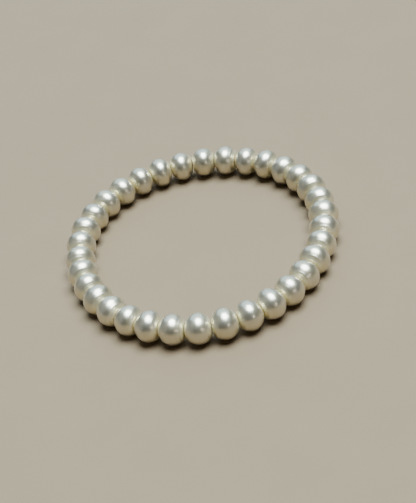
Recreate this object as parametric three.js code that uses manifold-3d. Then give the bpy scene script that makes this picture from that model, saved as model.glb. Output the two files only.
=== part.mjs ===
// A stretch bracelet: drilled button pearls in a closed loop on an elastic cord, lying flat.
// Lengths are millimetres and angles degrees. +Z is up, the front of the loop faces -Y, and the pearls rest
// on z = 0.
import * as THREE from "three";
import { mergeVertices } from "three/addons/utils/BufferGeometryUtils.js";
import Module from "manifold-3d";

// Pearls, round across the string and flatter along it
const pearlCount = 34;
const pearlDiameter = 6.8;
const pearlThickness = 5.18; // along the string, between the rims of the drill hole
const roundReach = 1.11; // of the round skin along the string before its ends are flattened, in thicknesses
const shoulderSharpness = 16; // of the turn from the round skin to the flattened end
const diameterSpread = 0.1; // the most that one pearl is larger or smaller than the size above
const thicknessSpread = 0.12;
const pearlClearance = 0.06; // between two neighbours, where they come closest
const pearlSides = 16;
const pearlBands = 7; // from rim to rim, an odd number for a flat band at the widest place

// Elastic cord, and its knot in a pocket of the first pearl
const cordDiameter = 0.7;
const cordClearance = 0.25; // round the cord in the drill hole
const cordSides = 8;
const cordStepsPerPearl = 2;
const knotDiameter = 1.5;
const knotClearance = 0.3; // round the knot and at both its ends
const knotSides = 10;
const knotBands = 6;

// Plan of the loop: a ring that swells by a share of its radius in so many lobes. The first lobe faces so
// many degrees from the front, towards +X.
const loopWaves = [
  { lobes: 2, share: 0.05, facing: -4 },
  { lobes: 3, share: 0.015, facing: -6 },
];
const firstPearlStart = -0.04; // where pearl 1 begins, as a share of the string from the front of the loop
const planSteps = 1000; // in which the length of the plan is measured

// Sizes that follow
const holeRadius = cordDiameter / 2 + cordClearance;
const pocketRadius = knotDiameter / 2 + knotClearance;
const pocketDepth = knotDiameter + 2 * knotClearance;
// The edges between the sides of a pearl reach further out than the middle lines of the sides
const sideReach = 1 / Math.cos(Math.PI / pearlSides);
const weldDistance = 0.001;

const pearlMaterial = new THREE.MeshStandardMaterial({ color: 0xede6da, roughness: 0.22, metalness: 0 });
const cordMaterial = new THREE.MeshStandardMaterial({ color: 0xe6e6e2, roughness: 0.4, metalness: 0 });

const wasm = await Module();
wasm.setup();

const sum = (values) => values.reduce((total, value) => total + value, 0);

// Pearls are sorted by size but never alike: each is off by its own part of the spread, in no plain pattern
const goldenAngle = Math.PI * (3 - Math.sqrt(5));

function pearlSizes(index) {
  return {
    diameter: pearlDiameter + diameterSpread * Math.sin(index * goldenAngle),
    thickness: pearlThickness + thicknessSpread * Math.cos(2 * index * goldenAngle),
  };
}

// How far the skin is from the middle of the pearl along the string, at a distance across from the drill
// axis. The skin is an ellipse that eases into a flat end, and meets the rim of the hole at half the thickness.
function skinAlong(across, { diameter, thickness }) {
  const round = (place) => ((roundReach * thickness) / 2) * Math.sqrt(1 - ((2 * place) / diameter) ** 2);
  const flat = (thickness / 2) ** -shoulderSharpness - round(holeRadius) ** -shoulderSharpness;
  return (round(across) ** -shoulderSharpness + flat) ** (-1 / shoulderSharpness);
}

// Half section of a pearl: from one rim of the hole out over the shoulders to the other rim, and back along
// the hole. The points on the shoulders are pushed out until the flat band at the widest place has the
// pearl's diameter.
function pearlProfile(sizes, hasPocket) {
  const { diameter, thickness } = sizes;
  const band = Math.PI / pearlBands;
  const pushOut = 1 / Math.cos(band / 2);
  const points = [new THREE.Vector2(holeRadius, -thickness / 2)];
  for (let edge = 1; edge < pearlBands; edge += 1) {
    const turn = (edge - pearlBands / 2) * band;
    const across = (diameter / 2) * Math.cos(turn);
    const along = Math.sign(turn) * skinAlong(across, sizes);
    points.push(new THREE.Vector2(pushOut * across, along));
  }
  if (hasPocket) {
    const floor = thickness / 2 - pocketDepth;
    points.push(new THREE.Vector2(pocketRadius, skinAlong(pocketRadius, sizes)));
    points.push(new THREE.Vector2(pocketRadius, floor));
    points.push(new THREE.Vector2(holeRadius, floor));
  } else {
    points.push(new THREE.Vector2(holeRadius, thickness / 2));
  }
  points.push(points[0].clone());
  return points;
}

// The axis of the pearl is its local Y. One of its sides faces straight down, for the pearl to rest on, and
// the middle lines of the sides lie on the round pearl.
function pearlGeometry(sizes, hasPocket) {
  const profile = pearlProfile(sizes, hasPocket);
  profile.forEach((point) => point.setX(point.x * sideReach));
  return new THREE.LatheGeometry(profile, pearlSides, Math.PI / pearlSides);
}

// Neighbours lean together on the inside of the loop, most where it turns sharpest. The gap between them at
// the cord leaves the clearance at the points that would meet first.
function findJointGap() {
  const sharpness = 1 + sum(loopWaves.map(({ lobes, share }) => share * (lobes ** 2 - 1)));
  const lean = Math.tan((sharpness * Math.PI) / pearlCount);
  const profile = pearlProfile({ diameter: pearlDiameter, thickness: pearlThickness }, false);
  const overlaps = profile.map((point) => 2 * (point.x * sideReach * lean + point.y) - pearlThickness);
  return pearlClearance + Math.max(...overlaps);
}

class LoopPlan extends THREE.Curve {
  constructor() {
    super();
    this.arcLengthDivisions = planSteps;
  }

  getPoint(share, target = new THREE.Vector3()) {
    const turn = 2 * Math.PI * share;
    const swell = loopWaves.map(
      (wave) => wave.share * Math.cos(wave.lobes * (turn - THREE.MathUtils.degToRad(wave.facing))),
    );
    const radius = 1 + sum(swell);
    return target.set(radius * Math.sin(turn), -radius * Math.cos(turn), 0);
  }
}

// Joints between the pearls: they share out the loop by the room that each pearl takes, and the loop is then
// sized so that the straight way from joint to joint is that room
function layJoints(pearls) {
  const plan = new LoopPlan();
  const jointGap = findJointGap();
  const rooms = pearls.map((pearl) => pearl.thickness + jointGap);
  const stringLength = sum(rooms);
  let reached = 0;
  const joints = rooms.map((room) => {
    const share = firstPearlStart + reached / stringLength;
    reached += room;
    return plan.getPointAt(share - Math.floor(share));
  });
  const straightWays = joints.map((joint, index) => joint.distanceTo(joints[(index + 1) % joints.length]));
  const size = stringLength / sum(straightWays);
  joints.forEach((joint, index) => {
    const before = pearls[(index + pearls.length - 1) % pearls.length];
    joint.multiplyScalar(size);
    joint.setZ((before.diameter + pearls[index].diameter) / 4);
  });
  return joints;
}

function headingBetween(start, end) {
  return Math.atan2(end.y - start.y, end.x - start.x) - Math.PI / 2;
}

function makePearl(index, sizes, start, end) {
  const hasPocket = index === 0;
  const pearl = new THREE.Mesh(pearlGeometry(sizes, hasPocket), pearlMaterial.clone());
  pearl.name = `pearl_${String(index + 1).padStart(2, "0")}`;
  pearl.position.addVectors(start, end).divideScalar(2).setZ(sizes.diameter / 2);
  pearl.rotation.z = headingBetween(start, end);
  return pearl;
}

function toSolid(geometry) {
  const bare = geometry.clone();
  bare.deleteAttribute("normal");
  bare.deleteAttribute("uv");
  const welded = mergeVertices(bare, weldDistance);
  return new wasm.Manifold(
    new wasm.Mesh({
      numProp: 3,
      vertProperties: new Float32Array(welded.attributes.position.array),
      triVerts: new Uint32Array(welded.index.array),
    }),
  );
}

function toGeometry(solid) {
  const { vertProperties, triVerts } = solid.getMesh();
  const geometry = new THREE.BufferGeometry();
  geometry.setAttribute("position", new THREE.BufferAttribute(vertProperties, 3));
  geometry.setIndex(new THREE.BufferAttribute(triVerts, 1));
  return geometry;
}

// The stretched cord runs straight through each pearl and bends only at the joints: a curve through the
// joints without tangents. The knot is drawn into the pocket of the first pearl.
function makeCord(joints, firstPearl) {
  const route = new THREE.CatmullRomCurve3(joints, true, "catmullrom", 0);
  const steps = joints.length * cordStepsPerPearl;
  const ring = new THREE.TubeGeometry(route, steps, cordDiameter / 2, cordSides, true);
  const knot = new THREE.SphereGeometry(knotDiameter / 2, knotSides, knotBands);
  const [start, end] = joints;
  const fromMiddle = firstPearl.thickness / 2 - pocketDepth / 2;
  const place = start.clone().lerp(end, 0.5 + fromMiddle / start.distanceTo(end));
  knot.rotateZ(headingBetween(start, end));
  knot.translate(place.x, place.y, place.z);
  const cord = new THREE.Mesh(toGeometry(toSolid(ring).add(toSolid(knot))), cordMaterial);
  cord.name = "elastic_cord";
  return cord;
}

const pearls = Array.from({ length: pearlCount }, (_, index) => pearlSizes(index));
const joints = layJoints(pearls);
const bracelet = new THREE.Group();
pearls.forEach((sizes, index) => {
  bracelet.add(makePearl(index, sizes, joints[index], joints[(index + 1) % pearlCount]));
});
bracelet.add(makeCord(joints, pearls[0]));

// The origin is under the middle of the loop
const extent = new THREE.Box3().setFromObject(bracelet, true);
const middle = extent.getCenter(new THREE.Vector3());
bracelet.position.set(-middle.x, -middle.y, 0);

export default bracelet;
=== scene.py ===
"""A stretch bracelet of drilled button pearls in a closed loop on an elastic cord, lying flat."""

import bpy
import numpy as np
from mathutils import Matrix, Vector


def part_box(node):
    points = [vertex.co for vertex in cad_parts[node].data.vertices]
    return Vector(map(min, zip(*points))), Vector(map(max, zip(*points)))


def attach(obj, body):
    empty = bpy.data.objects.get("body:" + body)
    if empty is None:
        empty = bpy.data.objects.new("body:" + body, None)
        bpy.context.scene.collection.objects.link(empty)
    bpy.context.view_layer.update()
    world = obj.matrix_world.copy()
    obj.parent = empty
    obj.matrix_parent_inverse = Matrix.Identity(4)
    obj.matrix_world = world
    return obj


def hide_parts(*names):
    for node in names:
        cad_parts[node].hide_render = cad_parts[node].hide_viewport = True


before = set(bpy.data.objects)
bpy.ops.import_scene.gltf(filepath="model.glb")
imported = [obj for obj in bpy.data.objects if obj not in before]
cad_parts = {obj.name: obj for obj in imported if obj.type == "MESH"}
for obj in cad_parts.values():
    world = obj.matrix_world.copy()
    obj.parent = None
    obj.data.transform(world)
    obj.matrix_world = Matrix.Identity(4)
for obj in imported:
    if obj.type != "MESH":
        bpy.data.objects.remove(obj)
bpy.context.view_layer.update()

# Lengths are in metres
MM = 0.001
UP = np.array([0.0, 0.0, 1.0])

# Pearls
PEARL_COUNT = 34
BORE_RADIUS = 0.6 * MM
POCKET_RADIUS = 1.05 * MM
POCKET_DEPTH = 2.1 * MM
RIM_ROUNDING = 0.1 * MM
ROUND_REACH = 1.11  # of the round skin along the string, in half thicknesses, before its ends are flattened
SHOULDER_SHARPNESS = 16
SMALLEST_SHARE = 1e-9  # in place of 0 at the widest place, since 0 has no negative powers
JOINT_GAP = 0.04 * MM

# Cord and knot
CORD_RADIUS = 0.35 * MM
KNOT_STRAND_RADIUS = 0.19 * MM
KNOT_TURNS = 5
KNOT_LENGTH = 1.5 * MM

# Steps of the surfaces
SHELL_STEPS = 84
RIM_STEPS = 4
WALL_STEPS = 8
STEPS_AROUND = 96
CORD_STEPS_PER_PEARL = 12
CORD_STEPS_AROUND = 16
KNOT_STEPS = 200
KNOT_STEPS_AROUND = 12
MEASURING_STEP = 0.05  # in degrees, between the ways in which the width of a pearl is measured

# How far a pearl departs from its even outline. Places and widths are in radii, out from the drill axis.
FIRST_SEED = 100
OVALNESS = 0.006
LOPSIDEDNESS = 0.012
WAVE_HEIGHT = 0.02 * MM
WAVE_LOBES = (1, 2, 3)
EVEN_REACH = 0.1  # of the even skin, out from the bore
EVEN_FADE = 0.3

# Growth rings round each end of a pearl: a ripple, and single rings from the outermost one inwards
RIPPLE_HEIGHT = 0.032 * MM
RIPPLE_PACE = 25
RIPPLE_SLANT = 0.8
RIPPLE_REACH = 0.92
RIPPLE_FADE = 0.22
RING_HEIGHT = 0.036 * MM
RING_COUNT = 3
RING_OUTERMOST = 0.82
RING_SPREAD = 0.36
RING_SCATTER = 0.8
RING_WIDTHS = (0.035, 0.06)
RING_SIZES = (0.4, 1)
RING_WOBBLE = 0.02

# The photograph's view: a long lens from above the front, rolled to the right
FRAME_SIDE_PX = 503
FOCAL_PX = 1321.7
SENSOR = 36.0
VIEW_TARGET = Vector((0.64, -5.22, 3.4)) * MM
VIEW_DISTANCE = 291.4 * MM
VIEW_ELEVATION = np.radians(36.86)
VIEW_ROLL = np.radians(12.62)
NEAREST_SEEN = 0.01
FURTHEST_SEEN = 20

# Surroundings
HORIZON_TOP = 0.14  # the sine of the elevation where they stop to darken upwards
HORIZON_COLOUR = (0.38, 0.357, 0.3, 1)
OVERHEAD_COLOUR = (0.028, 0.029, 0.03, 1)
FLOOR_REACH = 4.0

# Colours
BODY_PALE = (0.60, 0.548, 0.43, 1)
BODY_DEEP = (0.63, 0.555, 0.38, 1)
BODY_WARM = (0.70, 0.63, 0.46, 1)
# Colour of the drilled ends: partly the nacre's own creamier tone, partly a painted reflection of the
# neighbouring pearls' bright cream flanks
END_CREAM_AND_PAINTED_REFLECTION = (0.88, 0.797, 0.52, 1)
MOTTLE_GREY = (0.74, 0.72, 0.72, 1)
PIT_BROWN = (0.62, 0.52, 0.38, 1)
CORD_CLEAR = (0.86, 0.86, 0.84, 1)
CORD_HAZY = (0.78, 0.78, 0.75, 1)
BOARD_DEEP = (0.272, 0.202, 0.125, 1)
BOARD_PALE = (0.299, 0.222, 0.14, 1)


def make_camera():
    """Camera on a line that rises by the elevation from the target, turned about that line by the roll."""
    right = Vector((1, 0, 0))
    back = Vector((0, -np.cos(VIEW_ELEVATION), np.sin(VIEW_ELEVATION)))
    up = back.cross(right)
    turned_right = right * np.cos(VIEW_ROLL) - up * np.sin(VIEW_ROLL)
    turned_up = up * np.cos(VIEW_ROLL) + right * np.sin(VIEW_ROLL)
    turn = Matrix((turned_right, turned_up, back)).transposed().to_4x4()
    data = bpy.data.cameras.new("camera")
    data.sensor_width = SENSOR
    data.lens = SENSOR * FOCAL_PX / FRAME_SIDE_PX
    data.clip_start = NEAREST_SEEN
    data.clip_end = FURTHEST_SEEN
    camera = bpy.data.objects.new("camera", data)
    camera.matrix_world = Matrix.Translation(VIEW_TARGET + back * VIEW_DISTANCE) @ turn
    bpy.context.scene.collection.objects.link(camera)
    bpy.context.scene.camera = camera


class Value:
    """A number or colour that a finish works out at each point. Arithmetic on it adds Math nodes."""

    def __init__(self, finish, socket):
        self.finish = finish
        self.socket = socket

    def math(self, operation, first, second=0.0):
        return self.finish.node("ShaderNodeMath", {"operation": operation}, {0: first, 1: second})

    def __add__(self, other):
        return self.math("ADD", self, other)

    def __sub__(self, other):
        return self.math("SUBTRACT", self, other)

    def __rsub__(self, other):
        return self.math("SUBTRACT", other, self)

    def __mul__(self, other):
        return self.math("MULTIPLY", self, other)

    def __abs__(self):
        return self.math("ABSOLUTE", self)

    __radd__ = __add__
    __rmul__ = __mul__


class Shading:
    """A node tree that ends in one shader."""

    def __init__(self, tree, shader):
        self.tree = tree
        self.shader = tree.nodes[shader]

    def fill(self, node, sockets):
        for key, value in sockets.items():
            if isinstance(value, Value):
                self.tree.links.new(value.socket, node.inputs[key])
            else:
                node.inputs[key].default_value = value

    def node(self, kind, settings, sockets, output=0):
        node = self.tree.nodes.new(kind)
        for key, value in settings.items():
            setattr(node, key, value)
        self.fill(node, sockets)
        return Value(self, node.outputs[output])

    def ease(self, value, low, high, start=0.0, end=1.0):
        """Goes from start to end on an S-curve while the value goes from low to high."""
        sockets = {"Value": value, "From Min": low, "From Max": high, "To Min": start, "To Max": end}
        return self.node("ShaderNodeMapRange", {"interpolation_type": "SMOOTHSTEP"}, sockets)

    def blend(self, share, first, second):
        """The first colour where the share is 0, and the second where it is 1."""
        return self.node("ShaderNodeMix", {"data_type": "RGBA"}, {0: share, 6: first, 7: second}, 2)


class Finish(Shading):
    """A material that is put together from nodes round one Principled shader."""

    def __init__(self, name):
        self.material = bpy.data.materials.new(name)
        self.material.use_nodes = True
        super().__init__(self.material.node_tree, "Principled BSDF")

    def principled(self, sockets):
        self.fill(self.shader, sockets)
        return self.material

    def place(self):
        return self.node("ShaderNodeTexCoord", {}, {}, "Object")

    def attribute(self, name):
        return self.node("ShaderNodeAttribute", {"attribute_name": name}, {}, "Fac")

    def noise(self, grain, detail=2.0, roughness=0.5, distortion=0.0):
        """Even noise from 0 to 1 in the object's own space, with lumps about one grain across."""
        sockets = {"Vector": self.place(), "Scale": 1 / grain, "Detail": detail}
        sockets |= {"Roughness": roughness, "Distortion": distortion}
        return self.node("ShaderNodeTexNoise", {}, sockets)

    def spots(self, spacing):
        """Distance to the nearest of many scattered points, in spacings."""
        sockets = {"Vector": self.place(), "Scale": 1 / spacing, "Randomness": 1.0}
        return self.node("ShaderNodeTexVoronoi", {"feature": "F1"}, sockets, "Distance")

    def relief(self, height):
        """The surface normal over a height that is given in metres."""
        return self.node("ShaderNodeBump", {}, {"Strength": 1.0, "Distance": 1.0, "Height": height})


def nacre_finish():
    """Cream-white nacre: cloudy in colour, silkier in patches, a few pits, and creamier at its drilled
    ends, partly its own tone and partly a painted reflection of the bright neighbouring pearls that leaves
    a painted darker oval in the middle.
    """
    nacre = Finish("nacre")
    # Share towards the drilled ends, where painted reflection of the neighbours lightens the colour and
    # leaves the middle as a painted darker oval; it also sets roughness and metallic there
    cream_and_painted_reflection_share = nacre.ease(abs(nacre.attribute("along")), 0.5, 1.0)
    clouds = nacre.ease(nacre.noise(3.2 * MM, detail=3.0), 0.32, 0.68)
    mottle = nacre.noise(0.5 * MM, detail=3.0, roughness=0.6)
    pit = nacre.ease(nacre.spots(1.3 * MM), 0.0, 0.22, start=1.0, end=0.0)

    body = nacre.blend(clouds, BODY_PALE, BODY_DEEP)
    body = nacre.blend(nacre.attribute("warmth") * 0.5, body, BODY_WARM)
    # Creamier ends: partly the nacre's own tone, partly a painted reflection of the neighbouring pearls
    body = nacre.blend(cream_and_painted_reflection_share * 0.8, body, END_CREAM_AND_PAINTED_REFLECTION)
    body = nacre.blend(mottle * 0.12, body, MOTTLE_GREY)
    body = nacre.blend(pit * 0.1, body, PIT_BROWN)

    silk = 0.28 + nacre.noise(1.6 * MM) * 0.1 + cream_and_painted_reflection_share * 0.06
    peel = nacre.noise(0.42 * MM)
    swirl = nacre.noise(1.1 * MM, detail=1.0, roughness=0.4, distortion=0.6)
    height = peel * (0.005 * MM) + swirl * (0.022 * MM) - pit * (0.004 * MM)
    return nacre.principled(
        {
            "Base Color": body,
            "Roughness": silk,
            "Normal": nacre.relief(height),
            "Metallic": 0.81 - cream_and_painted_reflection_share * 0.18,
            "IOR": 1.6,
            "Subsurface Weight": 0.3,
            "Subsurface Radius": (1.0, 0.75, 0.5),
            "Subsurface Scale": 1.2 * MM,
            "Coat Weight": 0.8,
            "Coat Roughness": 0.24,
            "Coat IOR": 1.7,
            "Sheen Weight": 0.08,
            "Sheen Roughness": 0.4,
        }
    )


def elastic_finish():
    """Clear stretch cord, a little cloudy and uneven."""
    elastic = Finish("elastic")
    haze = elastic.noise(0.8 * MM)
    return elastic.principled(
        {
            "Base Color": elastic.blend(haze, CORD_CLEAR, CORD_HAZY),
            "Roughness": 0.3 + haze * 0.15,
            "Normal": elastic.relief(elastic.noise(0.15 * MM) * (0.01 * MM)),
            "Transmission Weight": 0.45,
            "IOR": 1.5,
        }
    )


def board_finish():
    """Pale matt board with a faint tooth."""
    board = Finish("pale_board")
    return board.principled(
        {
            "Base Color": board.blend(board.noise(14 * MM, detail=3.0), BOARD_DEEP, BOARD_PALE),
            "Roughness": 0.75 + board.noise(2 * MM) * 0.1,
            "Normal": board.relief(board.noise(0.35 * MM, detail=3.0) * (0.02 * MM)),
        }
    )


def wrapped_faces(rows, columns):
    """Faces of a grid of points that meets itself in both directions: each point is joined to the next one
    along the rows and the next one along the columns."""
    row, column = np.meshgrid(np.arange(rows), np.arange(columns), indexing="ij")
    next_row, next_column = (row + 1) % rows, (column + 1) % columns
    corners = [(row, column), (next_row, column), (next_row, next_column), (row, next_column)]
    return np.stack([r * columns + c for r, c in corners], axis=-1).reshape(-1, 4)


def wrapped_mesh(name, grids, finish):
    """A smooth mesh of closed surfaces, one from each grid of points."""
    points, faces, count = [], [], 0
    for grid in grids:
        points.append(grid.reshape(-1, 3))
        faces.append(wrapped_faces(*grid.shape[:2]) + count)
        count += len(points[-1])
    mesh = bpy.data.meshes.new(name)
    mesh.from_pydata(np.concatenate(points), [], np.concatenate(faces))
    mesh.polygons.foreach_set("use_smooth", np.ones(len(mesh.polygons), bool))
    mesh.materials.append(finish)
    return mesh


def add_values(mesh, key, values):
    """Gives each point of the mesh its value, as an attribute that the finish reads."""
    layer = mesh.attributes.new(key, "FLOAT", "POINT")
    layer.data.foreach_set("value", values.ravel().astype(np.float32))


def add_piece(name, mesh, slot, *nodes):
    """Shows the mesh in place of the CAD nodes."""
    piece = bpy.data.objects.new(name, mesh)
    bpy.context.scene.collection.objects.link(piece)
    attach(piece, "root")
    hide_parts(*nodes)


def measure_pearl(node):
    """Middle, drill axis, radius and thickness of a CAD pearl. In plan it is narrowest along its axis."""
    low, high = (np.array(corner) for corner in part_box(node))
    middle = (low + high) / 2
    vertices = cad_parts[node].data.vertices
    corners = np.empty(3 * len(vertices))
    vertices.foreach_get("co", corners)
    turns = np.radians(np.arange(0, 180, MEASURING_STEP))
    ways = np.stack([np.cos(turns), np.sin(turns)])
    widths = np.ptp((corners.reshape(-1, 3)[:, :2] - middle[:2]) @ ways, axis=0)
    narrowest = widths.argmin()
    axis = np.append(ways[:, narrowest], 0.0)
    return middle, axis, (high[2] - low[2]) / 2, widths[narrowest]


def follow_loop(pearls):
    """Turns each drill axis to point from its pearl to the next one, and adds two values for the near and
    the far end of the pearl: half the bend to its neighbour, and the room that the end can grow by. The
    room is half of what the two half thicknesses and the gap that stays leave of the way, and way =
    distance / cos(half the bend)."""
    middles, axes, radii, thicknesses = (np.array(column) for column in zip(*pearls))
    onward = np.roll(middles, -1, axis=0) - middles
    axes = axes * np.sign((axes * onward).sum(axis=1, keepdims=True))
    lean = np.arccos((axes * np.roll(axes, -1, axis=0)).sum(axis=1)) / 2
    way = np.linalg.norm(onward[:, :2], axis=1) / np.cos(lean)
    room = (way - (thicknesses + np.roll(thicknesses, -1)) / 2 - JOINT_GAP) / 2
    leans, rooms = (np.stack([np.roll(part, 1), part], axis=1) for part in (lean, room))
    return list(zip(middles, axes, radii, thicknesses, leans, rooms))


def rim_arc(bore, end, sign, outward):
    """Quarter circle from the end face of a pearl into its bore. The sign says which end."""
    turn = np.linspace(0, np.pi / 2, RIM_STEPS + 1)
    turn = turn[::-1] if outward else turn
    across = bore + RIM_ROUNDING * (1 - np.sin(turn))
    along = end - RIM_ROUNDING * (1 - np.cos(turn))
    return across, sign * along


def skin_along(across, radius, thickness):
    """How far the skin is from the middle, at a distance across from the drill axis: along ** -k =
    round ** -k + flat ** -k, where round is the ellipse H sqrt(1 - (across / R) ** 2) and flat is set so
    that the skin meets the bore at half the thickness."""
    power = -SHOULDER_SHARPNESS

    def round_skin(place):
        return ROUND_REACH * np.sqrt(np.clip(1 - (place / radius) ** 2, SMALLEST_SHARE, 1))

    flat = 1 - round_skin(BORE_RADIUS) ** power
    return thickness / 2 * (round_skin(across) ** power + flat) ** (1 / power)


def pearl_profile(radius, thickness, has_pocket):
    """Closed half section. The shell is across = R cos(turn), and along follows from it. The section goes
    on over the far rim, down the bore and over the near rim, each rim a quarter circle."""
    far_bore = POCKET_RADIUS if has_pocket else BORE_RADIUS
    near_turn, far_turn = (np.arccos((bore + RIM_ROUNDING) / radius) for bore in (BORE_RADIUS, far_bore))
    turn = np.linspace(-near_turn, far_turn, SHELL_STEPS + 1)
    across = radius * np.cos(turn)
    shell = across, np.sign(turn) * skin_along(across, radius, thickness)
    far_rim = rim_arc(far_bore, shell[1][-1], 1, False)
    near_rim = rim_arc(BORE_RADIUS, -shell[1][0], -1, True)
    cream_and_painted_reflection_share, far_end = near_rim[1][0], far_rim[1][-1]
    wall = np.linspace(far_end, cream_and_painted_reflection_share, WALL_STEPS + 1)
    wall_across = np.full_like(wall, BORE_RADIUS)
    if has_pocket:
        floor = thickness / 2 - POCKET_DEPTH
        pocket = np.linspace(far_end, floor, WALL_STEPS + 1)
        rest = np.linspace(floor, cream_and_painted_reflection_share, WALL_STEPS + 1)
        wall = np.concatenate([pocket, rest])
        wall_across = np.repeat([far_bore, BORE_RADIUS], WALL_STEPS + 1)
    parts = [shell, (far_rim[0][1:], far_rim[1][1:]), (wall_across[1:-1], wall[1:-1])]
    parts.append((near_rim[0][:-1], near_rim[1][:-1]))
    across, along = (np.concatenate([part[side] for part in parts]) for side in (0, 1))
    return across, along


def wave_push(share, around, chance):
    """Long low waves, the sum of H size sin(lobes around + phase) sin(lean share + phase)."""
    push = 0
    for lobes in WAVE_LOBES:
        phase, lean, size = chance.uniform(0, 2 * np.pi), chance.uniform(1, 3), chance.uniform(-1, 1)
        push = push + WAVE_HEIGHT * size * np.sin(lobes * around + phase) * np.sin(lean * share + phase)
    return push


def ring_push(out, around, chance):
    """Growth rings round one end, at out = across / R. An even ripple, H sin(pace out + phase), fades
    towards the widest place. Single rings are raised and sunk by turns, each of them H exp(-u ** 2) with
    u = (out - spot) / width. Terms in sin(around) set the rings askew."""
    start, slant = chance.uniform(0, 2 * np.pi, 2)
    ripple = np.sin(RIPPLE_PACE * out + start + RIPPLE_SLANT * np.sin(around + slant))
    fade = np.clip((RIPPLE_REACH - out) / RIPPLE_FADE, 0, 1)
    push = RIPPLE_HEIGHT * ripple * fade**2 * (3 - 2 * fade)
    for ring in range(RING_COUNT):
        spot = RING_OUTERMOST - RING_SPREAD * (ring + chance.uniform(0, RING_SCATTER)) / RING_COUNT
        width, size = chance.uniform(*RING_WIDTHS), chance.uniform(*RING_SIZES) * (-1) ** ring
        wobble = RING_WOBBLE * np.sin(around + chance.uniform(0, 2 * np.pi))
        push = push + RING_HEIGHT * size * np.exp(-(((out - spot - wobble) / width) ** 2))
    return push


def pearl_points(place, has_pocket, chance):
    """The profile turned about the drill axis. The radius is oval, by 1 - oval sin(around - phase) ** 2,
    and grows towards one end, by 1 + lopsided share (1 - share ** 2). Waves and growth rings push the skin
    out or in. All of it fades out towards the bore. The end faces grow into their room and lean with the
    loop: along grows by share ** 2 (room + side tan(lean))."""
    middle, axis, radius, thickness, leans, rooms = place
    across, along = pearl_profile(radius, thickness, has_pocket)
    across, along = across[:, None], along[:, None]
    around = np.linspace(0, 2 * np.pi, STEPS_AROUND, endpoint=False)[None, :]
    share = along / (thickness / 2)
    skin = np.clip(((across - BORE_RADIUS) / radius - EVEN_REACH) / EVEN_FADE, 0, 1)

    oval, lopsided = chance.uniform(0, OVALNESS), chance.uniform(-LOPSIDEDNESS, LOPSIDEDNESS)
    factor = 1 - oval * np.sin(around - chance.uniform(0, np.pi)) ** 2
    factor = factor * (1 + lopsided * share * (1 - share**2))
    push = wave_push(share, around, chance)
    for end in (-1, 1):
        push = push + ring_push(across / radius, around, chance) * (np.sign(share) == end)

    lean, room = (np.where(share < 0, near, far) for near, far in (leans, rooms))
    face = np.sign(share) * share**2 * (room + np.tan(lean) * across * np.cos(around))
    facing = share * np.pi / 2
    across = across * (1 + (factor - 1) * skin) + push * skin * np.cos(facing)
    along = along + push * skin * np.sin(facing) + face
    side = np.cross(axis, UP)
    points = middle + along[..., None] * axis
    points = points + (across * np.cos(around))[..., None] * side
    points = points + (across * np.sin(around))[..., None] * UP
    points[..., 2] -= points[..., 2].min()
    return points, np.broadcast_to(share, across.shape)


def make_pearls(pearls, finish):
    """A mesh for each pearl. The finish reads from it along, the share from one end (-1) to the other (1),
    and warmth, which is the same all over a pearl."""
    for index, place in enumerate(pearls):
        chance = np.random.default_rng(FIRST_SEED + index)
        points, share = pearl_points(place, index == 0, chance)
        node = f"pearl_{index + 1:02d}"
        mesh = wrapped_mesh(f"nacre_{node}", [points], finish)
        add_values(mesh, "along", share)
        add_values(mesh, "warmth", np.full_like(share, chance.uniform(0, 1)))
        add_piece(f"nacre_{node}", mesh, "nacre", node)


def smooth_route(stops, steps):
    """Closed curve through the stops: between two of them it is the cubic whose slope at a stop is half the
    way between the stops on its two sides."""
    before, after, beyond = (np.roll(stops, -shift, axis=0) for shift in (-1, 1, 2))
    share = (np.arange(steps) / steps)[None, :, None]
    here, before, after, beyond = (part[:, None, :] for part in (stops, before, after, beyond))
    curve = 2 * here + (after - before) * share
    curve = curve + (2 * before - 5 * here + 4 * after - beyond) * share**2
    curve = curve + (3 * here - before - 3 * after + beyond) * share**3
    return (curve / 2).reshape(-1, 3)


def tube_points(route, upright, radius, steps_around):
    """A circle carried along a closed route, square to it: side = way x upright, lift = side x way, and
    point = route + r (side cos a + lift sin a)."""
    way = np.roll(route, -1, axis=0) - np.roll(route, 1, axis=0)
    way = way / np.linalg.norm(way, axis=1, keepdims=True)
    side = np.cross(way, upright)
    side = side / np.linalg.norm(side, axis=1, keepdims=True)
    lift = np.cross(side, way)
    around = np.linspace(0, 2 * np.pi, steps_around, endpoint=False)[None, :, None]
    circle = np.cos(around) * side[:, None, :] + np.sin(around) * lift[:, None, :]
    return route[:, None, :] + radius * circle


def knot_route(middle, axis):
    """The cord's tail wound round it and drawn tight: a circle round the cord that also runs to and fro
    along it, point = middle + reach (side cos(T a) + up sin(T a)) - axis run cos(a), with T turns in a
    pass of a."""
    pass_angle = np.linspace(0, 2 * np.pi, KNOT_STEPS, endpoint=False)[:, None]
    reach = CORD_RADIUS + KNOT_STRAND_RADIUS
    run = KNOT_LENGTH / 2 - KNOT_STRAND_RADIUS
    side = np.cross(axis, UP)
    turn = KNOT_TURNS * pass_angle
    return middle + reach * (np.cos(turn) * side + np.sin(turn) * UP) - run * np.cos(pass_angle) * axis


def make_cord(pearls, finish):
    """The cord goes through the joints half-way between the pearls' end faces, and its knot is in the
    middle of the pocket."""
    middles, axes, thicknesses = (np.array([pearl[part] for pearl in pearls]) for part in (0, 1, 3))
    halves = thicknesses[:, None] / 2
    ends = middles + axes * halves
    starts = middles - axes * halves
    joints = (ends + np.roll(starts, -1, axis=0)) / 2
    joints[:, 2] = (middles[:, 2] + np.roll(middles[:, 2], -1)) / 2
    cord = tube_points(smooth_route(joints, CORD_STEPS_PER_PEARL), UP, CORD_RADIUS, CORD_STEPS_AROUND)
    knot_middle = ends[0] - axes[0] * POCKET_DEPTH / 2
    knot = tube_points(knot_route(knot_middle, axes[0]), axes[0], KNOT_STRAND_RADIUS, KNOT_STEPS_AROUND)
    mesh = wrapped_mesh("stretch_cord", [cord, knot], finish)
    add_piece("stretch_cord", mesh, "elastic", "elastic_cord")


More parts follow.
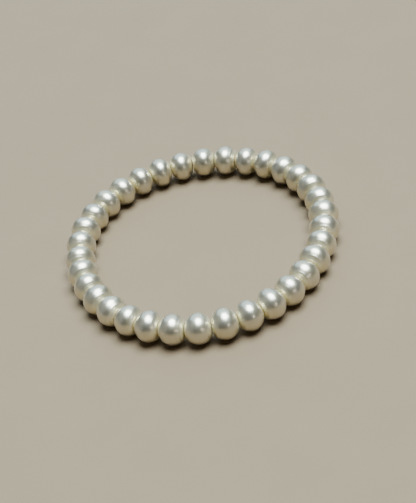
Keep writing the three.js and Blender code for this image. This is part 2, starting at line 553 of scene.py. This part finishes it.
def make_floor():
    """Level square, far wider than the view."""
    reach = FLOOR_REACH
    corners = [(-reach, -reach, 0), (reach, -reach, 0), (reach, reach, 0), (-reach, reach, 0)]
    mesh = bpy.data.meshes.new("floor")
    mesh.from_pydata(corners, [], [(0, 1, 2, 3)])
    mesh.materials.append(board_finish())
    floor = bpy.data.objects.new("floor", mesh)
    bpy.context.scene.collection.objects.link(floor)


def make_lamp(name, toward, spread, strength, colour):
    """Round soft lamp far away in the direction toward. The spread is how wide it looks, in degrees."""
    data = bpy.data.lights.new(name, "SUN")
    data.angle = np.radians(spread)
    data.energy = strength
    data.color = colour
    lamp = bpy.data.objects.new(name, data)
    lamp.matrix_world = Vector(toward).to_track_quat("Z", "Y").to_matrix().to_4x4()
    bpy.context.scene.collection.objects.link(lamp)


def make_world():
    """Dark surroundings above a pale horizon."""
    world = bpy.data.worlds.new("studio")
    world.use_nodes = True
    studio = Shading(world.node_tree, "Background")
    direction = studio.node("ShaderNodeTexCoord", {}, {}, "Generated")
    height = studio.node("ShaderNodeSeparateXYZ", {}, {0: direction}, "Z")
    dark = studio.ease(height, 0.0, HORIZON_TOP)
    studio.fill(studio.shader, {"Color": studio.blend(dark, HORIZON_COLOUR, OVERHEAD_COLOUR)})
    bpy.context.scene.world = world


def make_studio():
    """Floor, surroundings and lamps, and the contrast of the picture."""
    make_floor()
    make_world()
    make_lamp("overhead_softbox", (0.184, 0.04, 0.98), spread=46, strength=4.9, colour=(0.77, 0.9, 1.0))
    make_lamp("back_panel", (0.05, 0.72, 0.69), spread=75, strength=1.2, colour=(0.6, 0.82, 1.0))
    make_lamp("left_panel", (-0.9, -0.05, 0.42), spread=60, strength=0.12, colour=(0.9, 0.96, 1.0))
    make_lamp("front_lamp", (0.62, -1.0, 0.5), spread=17, strength=0.12, colour=(1.0, 0.96, 0.9))
    scene = bpy.context.scene
    scene.view_settings.view_transform = "AgX"
    scene.view_settings.look = "AgX - Medium High Contrast"
    scene.view_settings.exposure = 0.3
    scene.cycles.max_bounces = 16
    scene.cycles.diffuse_bounces = 10
    scene.cycles.glossy_bounces = 10


make_camera()
pearls = follow_loop([measure_pearl(f"pearl_{number:02d}") for number in range(1, PEARL_COUNT + 1)])
make_pearls(pearls, nacre_finish())
make_cord(pearls, elastic_finish())
make_studio()
